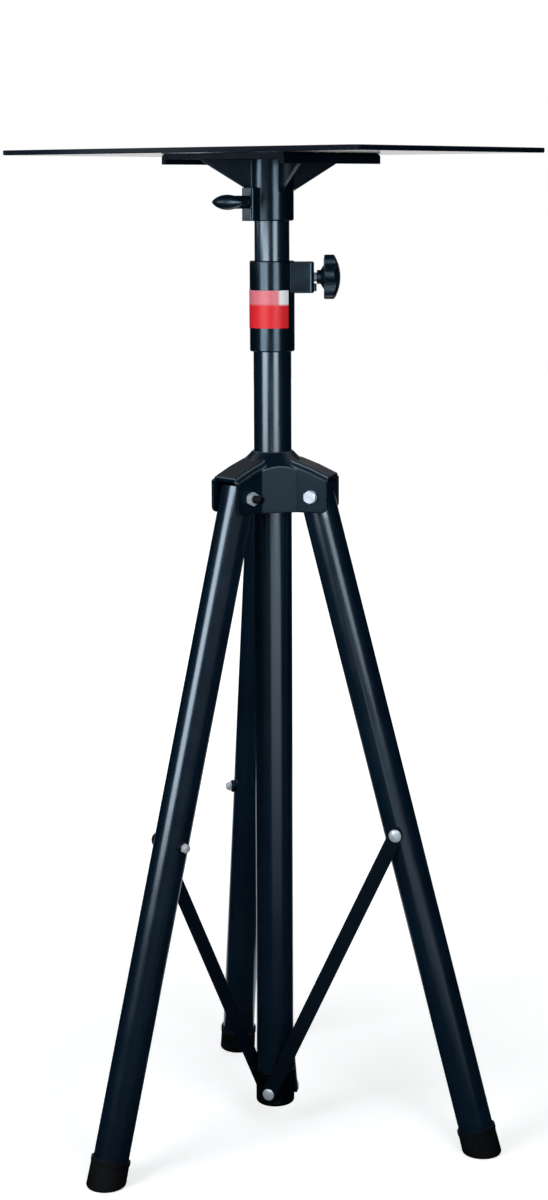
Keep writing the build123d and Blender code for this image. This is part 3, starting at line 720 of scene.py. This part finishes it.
def onlyMirrored(sheet):
    sheet.visible_camera = False
    sheet.visible_diffuse = False
    sheet.visible_shadow = False
    sheet.visible_transmission = False
    sheet.visible_volume_scatter = False


def plainMaterial(name, kind, inputs=None, result="Emission"):
    material = bpy.data.materials.new(name)
    material.use_nodes = True
    tree = material.node_tree
    tree.nodes.clear()
    shader = addNode(tree, kind, inputs)
    out = addNode(tree, "ShaderNodeOutputMaterial")
    join(tree, shader.outputs[result], out.inputs["Surface"])
    return material, tree, shader


def glowMaterial(name, strength):
    return plainMaterial(name, "ShaderNodeEmission", {"Color": (*lampColour, 1), "Strength": strength})[0]


clothPaint = startMaterial("clothPaint", {
    "Base Color": (0.012, 0.016, 0.022, 1.0), "Roughness": 1.0, "Specular IOR Level": 0.0})[0]
gauzePaint = plainMaterial(
    "gauzePaint", "ShaderNodeBsdfTransparent", {"Color": (0.5, 0.5, 0.5, 1.0)}, "BSDF")[0]

# dark curtain round the front and sides, and a dark cloth on the floor inside it
curtain = {"reach": 5.0, "foot": 0.002, "top": 4.2, "clothHeight": 0.001, "halfSweep": 160.0, "steps": 40}
steps, sweep, reach = curtain["steps"], curtain["halfSweep"], curtain["reach"]
sweeps = [-sweep + 2 * sweep * step / steps for step in range(steps + 1)]
corners = [floorSpot(angle, reach, curtain["foot"]) for angle in sweeps]
corners += [floorSpot(angle, reach, curtain["top"]) for angle in sweeps]
count = len(sweeps)
faces = [(i, i + 1, count + i + 1, count + i) for i in range(count - 1)]
onlyMirrored(stageSheet("curtain", corners, faces, clothPaint))
corners = [floorSpot(angle, reach, curtain["clothHeight"]) for angle in sweeps]
onlyMirrored(flatSheet("floorCloth", corners, clothPaint))

# lit part of the floor, brighter further out, for the broad low streak on the column
floorGlow = {
    "from": -15.0, "to": 46.0, "near": 0.56, "far": 4.7, "height": 0.003, "steps": 16,
    "gain": 0.50, "offset": -0.28,
}
glowPaint, tree, shader = plainMaterial("glowPaint", "ShaderNodeEmission", {"Color": (*lampColour, 1)})
place = addNode(tree, "ShaderNodeTexCoord").outputs["Object"]
strength = calc(tree, "MULTIPLY_ADD", fromColumn(tree, place), floorGlow["gain"], floorGlow["offset"])
join(tree, strength, shader.inputs["Strength"])
steps, sweep = floorGlow["steps"], floorGlow["to"] - floorGlow["from"]
sweeps = [floorGlow["from"] + sweep * step / steps for step in range(steps + 1)]
inner = [floorSpot(angle, floorGlow["near"], floorGlow["height"]) for angle in sweeps]
outer = [floorSpot(angle, floorGlow["far"], floorGlow["height"]) for angle in sweeps]
onlyMirrored(flatSheet("floorGlow", inner + outer[::-1], glowPaint))


def upright(name, card, material, centreAt):  # four-cornered sheet square to the card's angle
    ahead = outward(card["angle"])
    sideways = Vector((-ahead.y, ahead.x, 0)) * card["half"]
    corners = []
    for level, side in (("low", -1), ("low", 1), ("high", 1), ("high", -1)):
        spot = centreAt(card[level]) + sideways * side
        corners.append((spot.x, spot.y, card[level]))
    onlyMirrored(flatSheet(name, corners, material))


def standingCard(name, card, material):
    upright(name, card, material, lambda height: outward(card["angle"]) * card["reach"])


def legStrip(name, leg, card, material):
    hinge = next(joint for joint in frame["joints"] if joint["name"] == f"leg_{leg}_hinge")["pos_m"]
    legTurn = math.radians(legAngles[leg - 1])
    splay = Vector((math.cos(legTurn), math.sin(legTurn), 0)) * math.tan(math.radians(legLean))
    ahead = outward(card["angle"]) * card["ahead"]
    upright(name, card, material, lambda height: Vector(hinge) + splay * (hinge[2] - height) + ahead)


# strips along the front legs that keep softbox light out of their paint or weaken it
leftStrip = {"angle": 15.0, "ahead": 0.036, "half": 0.019, "low": 0.01, "high": 0.68}
rightStrip = {"angle": 30.0, "ahead": 0.036, "half": 0.030, "low": 0.01, "high": 0.645}
legStrip("leftStrip", 2, leftStrip, clothPaint)
legStrip("rightStrip", 3, rightStrip, gauzePaint)

# dark and bright cards round the head and the sleeve, and one high up in front for the hub's edges
headCards = {
    "headShade": {"angle": -42.0, "reach": 0.34, "half": 0.160, "low": 0.928, "high": 1.35},
    "handleEdge": {"angle": -67.0, "reach": 0.30, "half": 0.060, "low": 0.905, "high": 1.17, "glow": 5.0},
    "headEdge": {"angle": -104.0, "reach": 0.42, "half": 0.085, "low": 0.930, "high": 1.02, "glow": 1.6},
    "sleeveEdge": {"angle": -28.0, "reach": 0.50, "half": 0.056, "low": 0.795, "high": 0.896, "glow": 8.0},
    "frontTop": {"angle": 0.0, "reach": 2.6, "half": 0.9, "low": 2.0, "high": 3.8, "glow": 4.0},
}
for name, card in headCards.items():
    standingCard(name, card, glowMaterial(name + "Glow", card["glow"]) if "glow" in card else clothPaint)

# pale floor close behind for faces that look down, and a grey wall high up behind for the roofs
backFloor = {"half": 32.0, "near": 0.30, "far": 1.5, "height": 0.004, "glow": 0.9}
corners = []
for reach, side in (("near", -1), ("near", 1), ("far", 1), ("far", -1)):
    corners.append(floorSpot(180.0 + side * backFloor["half"], backFloor[reach], backFloor["height"]))
onlyMirrored(flatSheet("backFloor", corners, glowMaterial("backFloorGlow", backFloor["glow"])))
backWall = {"angle": 180.0, "reach": 4.9, "half": 2.2, "low": 1.5, "high": 6.5, "glow": 0.22}
standingCard("backWall", backWall, glowMaterial("backWallGlow", backWall["glow"]))
print("studio ready")
